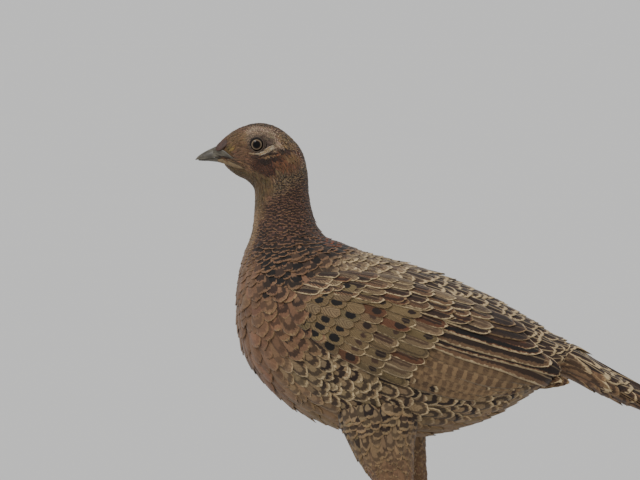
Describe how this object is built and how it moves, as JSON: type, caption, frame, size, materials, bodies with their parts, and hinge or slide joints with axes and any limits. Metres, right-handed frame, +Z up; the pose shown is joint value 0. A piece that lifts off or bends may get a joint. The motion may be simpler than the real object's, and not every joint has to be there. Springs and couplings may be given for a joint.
{
  "type": "hen common pheasant",
  "caption": "Life-size still model of a hen pheasant standing alert, neck raised, with closed feathered wings, a long pointed tail and scaled feet.",
  "frame": {"origin": "on the floor, under the middle of the bird's length, width centred on its plane of symmetry", "axes": "+Z up; the bird faces -X and its tail points to +X; +Y is the bird's right-hand side"},
  "size_m": [0.4476, 0.1112, 0.3224],
  "materials": {
    "head_plumage": "fine short feathers, warm brown with a dark crown",
    "neck_plumage": "small scaled feathers, purplish brown barred darker",
    "body_plumage": "buff feathers with dark centres and crescents",
    "wing_plumage": "buff-edged feathers with dark brown and chestnut centres",
    "tail_plumage": "long pointed feathers, buff brown with dark bars",
    "thigh_plumage": "short plain buff feathers",
    "bill_horn": "grey-brown horn, semi-matt, paler along the edges",
    "leg_scale": "grey-brown scales",
    "claw_horn": "dark brown horn, semi-gloss",
    "eye": "clear, wet, dark pupil and grey-brown iris"
  },
  "bodies": {
    "root": {"head": "head_plumage", "upper_bill": "bill_horn", "lower_bill": "bill_horn", "eye_left": "eye", "eye_right": "eye", "neck": "neck_plumage", "torso": "body_plumage", "wing_left": "wing_plumage", "wing_right": "wing_plumage", "tail": "tail_plumage", "thigh_left": "thigh_plumage", "thigh_right": "thigh_plumage", "shank_left": "leg_scale", "shank_right": "leg_scale", "foot_left": "leg_scale", "foot_right": "leg_scale", "claw_inner_left": "claw_horn", "claw_middle_left": "claw_horn", "claw_outer_left": "claw_horn", "claw_hind_left": "claw_horn", "claw_inner_right": "claw_horn", "claw_middle_right": "claw_horn", "claw_outer_right": "claw_horn", "claw_hind_right": "claw_horn"}
  },
  "joints": []
}
